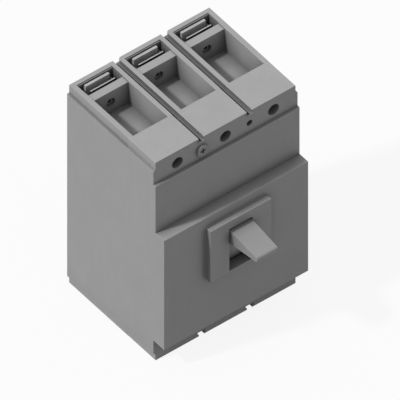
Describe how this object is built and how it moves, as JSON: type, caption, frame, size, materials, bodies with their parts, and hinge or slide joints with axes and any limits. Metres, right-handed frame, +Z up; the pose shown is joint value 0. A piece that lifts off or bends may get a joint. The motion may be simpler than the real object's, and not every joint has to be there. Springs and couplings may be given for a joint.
{
  "type": "molded case circuit breaker",
  "caption": "Moulded case circuit breaker with toggle handle, open terminal wells, box clamps, contacts, arc chutes and trip unit.",
  "frame": {"origin": "centre of the two fixing holes, on the rear mounting face", "axes": "+X to the right seen from the front, +Y out of the rear face towards the panel, +Z up towards the line terminals; the handle points to -Y"},
  "size_m": [0.105, 0.1196, 0.1602],
  "materials": {
    "moulding": "fine moulded texture, neutral grey",
    "handle_moulding": "smooth moulded, neutral grey",
    "bar_moulding": "glass filled moulding, dark",
    "fibre": "pressed fibre board",
    "screw_steel": "satin plated",
    "clamp_steel": "satin plated",
    "mechanism_steel": "plated pressings",
    "magnet_steel": "phosphated",
    "arc_plate_steel": "plated sheet",
    "spring_steel": "bright drawn wire",
    "insert_brass": "machined",
    "heater_alloy": "rolled strip",
    "bimetal": "rolled strip",
    "tinned_copper": "tin plated copper strip",
    "arm_copper": "bare copper",
    "braid_copper": "woven copper",
    "contact_silver": "silver alloy"
  },
  "bodies": {
    "housing": {"base": "moulding", "cover": "moulding", "accessory_cover": "moulding", "cover_screws": "screw_steel", "cover_screw_inserts": "insert_brass", "line_conductors": "tinned_copper", "load_conductors": "tinned_copper", "fixed_contacts": "contact_silver", "line_clamp_cages": "clamp_steel", "load_clamp_cages": "clamp_steel", "arc_chute_walls": "fibre", "arc_plates_1": "arc_plate_steel", "arc_plates_2": "arc_plate_steel", "arc_plates_3": "arc_plate_steel", "side_plates": "mechanism_steel", "handle_pivot_pins": "mechanism_steel", "cradle": "mechanism_steel", "cradle_pin": "mechanism_steel", "link_pivot_pin": "mechanism_steel", "latch_pin": "mechanism_steel", "heaters": "heater_alloy", "bimetals": "bimetal", "calibration_screws": "insert_brass", "magnet_cores": "magnet_steel", "armature_pins": "mechanism_steel"},
    "handle": {"handle": "handle_moulding", "handle_yoke": "mechanism_steel", "spring_anchor_pin": "mechanism_steel", "main_springs": "spring_steel"},
    "crossbar": {"crossbar": "bar_moulding", "crank_pin": "mechanism_steel", "contact_arm_pins": "mechanism_steel", "moving_contacts": "arm_copper", "moving_tips": "contact_silver", "contact_springs": "spring_steel", "flexible_braids": "braid_copper"},
    "upper_links": {"upper_links": "mechanism_steel", "toggle_pin": "mechanism_steel"},
    "lower_links": {"lower_links": "mechanism_steel"},
    "latch": {"latch": "mechanism_steel"},
    "trip_bar": {"trip_bar": "bar_moulding"},
    "armature_1": {"armature_1": "magnet_steel"},
    "armature_2": {"armature_2": "magnet_steel"},
    "armature_3": {"armature_3": "magnet_steel"},
    "line_clamp_1": {"line_clamp_screw_1": "clamp_steel", "line_pressure_plate_1": "clamp_steel"},
    "line_clamp_2": {"line_clamp_screw_2": "clamp_steel", "line_pressure_plate_2": "clamp_steel"},
    "line_clamp_3": {"line_clamp_screw_3": "clamp_steel", "line_pressure_plate_3": "clamp_steel"},
    "load_clamp_1": {"load_clamp_screw_1": "clamp_steel", "load_pressure_plate_1": "clamp_steel"},
    "load_clamp_2": {"load_clamp_screw_2": "clamp_steel", "load_pressure_plate_2": "clamp_steel"},
    "load_clamp_3": {"load_clamp_screw_3": "clamp_steel", "load_pressure_plate_3": "clamp_steel"}
  },
  "joints": [
    {"name": "handle_swing", "type": "hinge", "parent": "housing", "child": "handle", "pos_m": [0, -0.058, -0.0062], "axis": [1, 0, 0], "range_deg": [0, 31], "deforming": ["main_springs"]},
    {"name": "crossbar_turn", "type": "hinge", "parent": "housing", "child": "crossbar", "pos_m": [0, -0.024, -0.006], "axis": [1, 0, 0], "range_deg": [0, 28.05], "deforming": ["flexible_braids"]},
    {"name": "upper_link_swing", "type": "hinge", "parent": "housing", "child": "upper_links", "pos_m": [0, -0.054, -0.0036], "axis": [1, 0, 0], "range_deg": [-34.8, 0]},
    {"name": "lower_link_swing", "type": "hinge", "parent": "upper_links", "child": "lower_links", "pos_m": [0, -0.04, 0], "axis": [1, 0, 0], "range_deg": [0, 65.6]},
    {"name": "latch_swing", "type": "hinge", "parent": "housing", "child": "latch", "pos_m": [0, -0.044, -0.04], "axis": [1, 0, 0], "range_deg": [0, 10], "stiffness_Nm_per_rad": 0.02, "springref_deg": -5.73},
    {"name": "trip_bar_turn", "type": "hinge", "parent": "housing", "child": "trip_bar", "pos_m": [0, -0.026, -0.028], "axis": [1, 0, 0], "range_deg": [-10.05, 0]},
    {"name": "armature_tilt_1", "type": "hinge", "parent": "housing", "child": "armature_1", "pos_m": [-0.035, -0.0202, -0.04], "axis": [1, 0, 0], "range_deg": [0, 8], "stiffness_Nm_per_rad": 0.005, "springref_deg": -8.59},
    {"name": "armature_tilt_2", "type": "hinge", "parent": "housing", "child": "armature_2", "pos_m": [0, -0.0202, -0.04], "axis": [1, 0, 0], "range_deg": [0, 8], "stiffness_Nm_per_rad": 0.005, "springref_deg": -8.59},
    {"name": "armature_tilt_3", "type": "hinge", "parent": "housing", "child": "armature_3", "pos_m": [0.035, -0.0202, -0.04], "axis": [1, 0, 0], "range_deg": [0, 8], "stiffness_Nm_per_rad": 0.005, "springref_deg": -8.59},
    {"name": "line_clamp_slide_1", "type": "slide", "parent": "housing", "child": "line_clamp_1", "axis": [0, 1, 0], "range_m": [0, 0.004]},
    {"name": "line_clamp_slide_2", "type": "slide", "parent": "housing", "child": "line_clamp_2", "axis": [0, 1, 0], "range_m": [0, 0.004]},
    {"name": "line_clamp_slide_3", "type": "slide", "parent": "housing", "child": "line_clamp_3", "axis": [0, 1, 0], "range_m": [0, 0.004]},
    {"name": "load_clamp_slide_1", "type": "slide", "parent": "housing", "child": "load_clamp_1", "axis": [0, 1, 0], "range_m": [0, 0.004]},
    {"name": "load_clamp_slide_2", "type": "slide", "parent": "housing", "child": "load_clamp_2", "axis": [0, 1, 0], "range_m": [0, 0.004]},
    {"name": "load_clamp_slide_3", "type": "slide", "parent": "housing", "child": "load_clamp_3", "axis": [0, 1, 0], "range_m": [0, 0.004]}
  ],
  "couplings": [
    {"joint": "crossbar_turn", "follows": "handle_swing", "ratio": 0.90323},
    {"joint": "upper_link_swing", "follows": "handle_swing", "ratio": -1.119},
    {"joint": "lower_link_swing", "follows": "handle_swing", "ratio": 2.1132},
    {"joint": "trip_bar_turn", "follows": "latch_swing", "ratio": -1}
  ]
}
